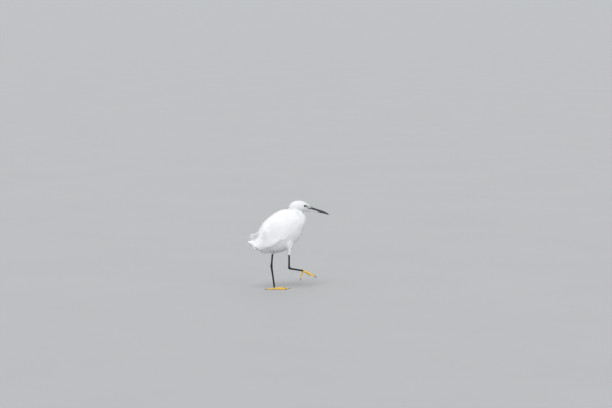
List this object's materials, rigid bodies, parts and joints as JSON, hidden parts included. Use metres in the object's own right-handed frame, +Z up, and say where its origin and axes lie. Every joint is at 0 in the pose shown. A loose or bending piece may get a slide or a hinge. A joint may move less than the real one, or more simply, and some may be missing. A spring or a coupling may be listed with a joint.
{
  "type": "little egret",
  "caption": "Standing white wading bird with a hunched neck, a long dark pointed bill and long dark legs with yellow toes, one foot lifted in a step.",
  "frame": {"origin": "middle of the sole of the standing foot, on the ground and in the bird's middle plane", "axes": "+X the way the bird faces, +Y the bird's left side, +Z up"},
  "size_m": [0.3497, 0.1124, 0.3665],
  "materials": {
    "plumage": "soft white feathers",
    "bill": "satin dark horn with a slate sheen",
    "iris": "wet and glossy",
    "leg": "scaled, satin",
    "toe": "scaled, satin",
    "claw": "satin dark horn"
  },
  "bodies": {
    "root": {"torso": "plumage", "neck_lower": "plumage", "neck_upper": "plumage", "head": "plumage", "thigh_left": "plumage", "thigh_right": "plumage", "tail": "plumage", "wing_left": "plumage", "wing_right": "plumage", "back_plumes": "plumage", "eye_left": "iris", "eye_right": "iris", "bill_upper": "bill", "bill_lower": "bill", "shank_left": "leg", "tarsus_left": "leg", "shank_right": "leg", "tarsus_right": "leg", "foot_left": "toe", "foot_right": "toe", "toe_inner_left": "toe", "toe_middle_left": "toe", "toe_outer_left": "toe", "toe_hind_left": "toe", "toe_inner_right": "toe", "toe_middle_right": "toe", "toe_outer_right": "toe", "toe_hind_right": "toe", "claw_inner_left": "claw", "claw_middle_left": "claw", "claw_outer_left": "claw", "claw_hind_left": "claw", "claw_inner_right": "claw", "claw_middle_right": "claw", "claw_outer_right": "claw", "claw_hind_right": "claw"}
  },
  "joints": []
}
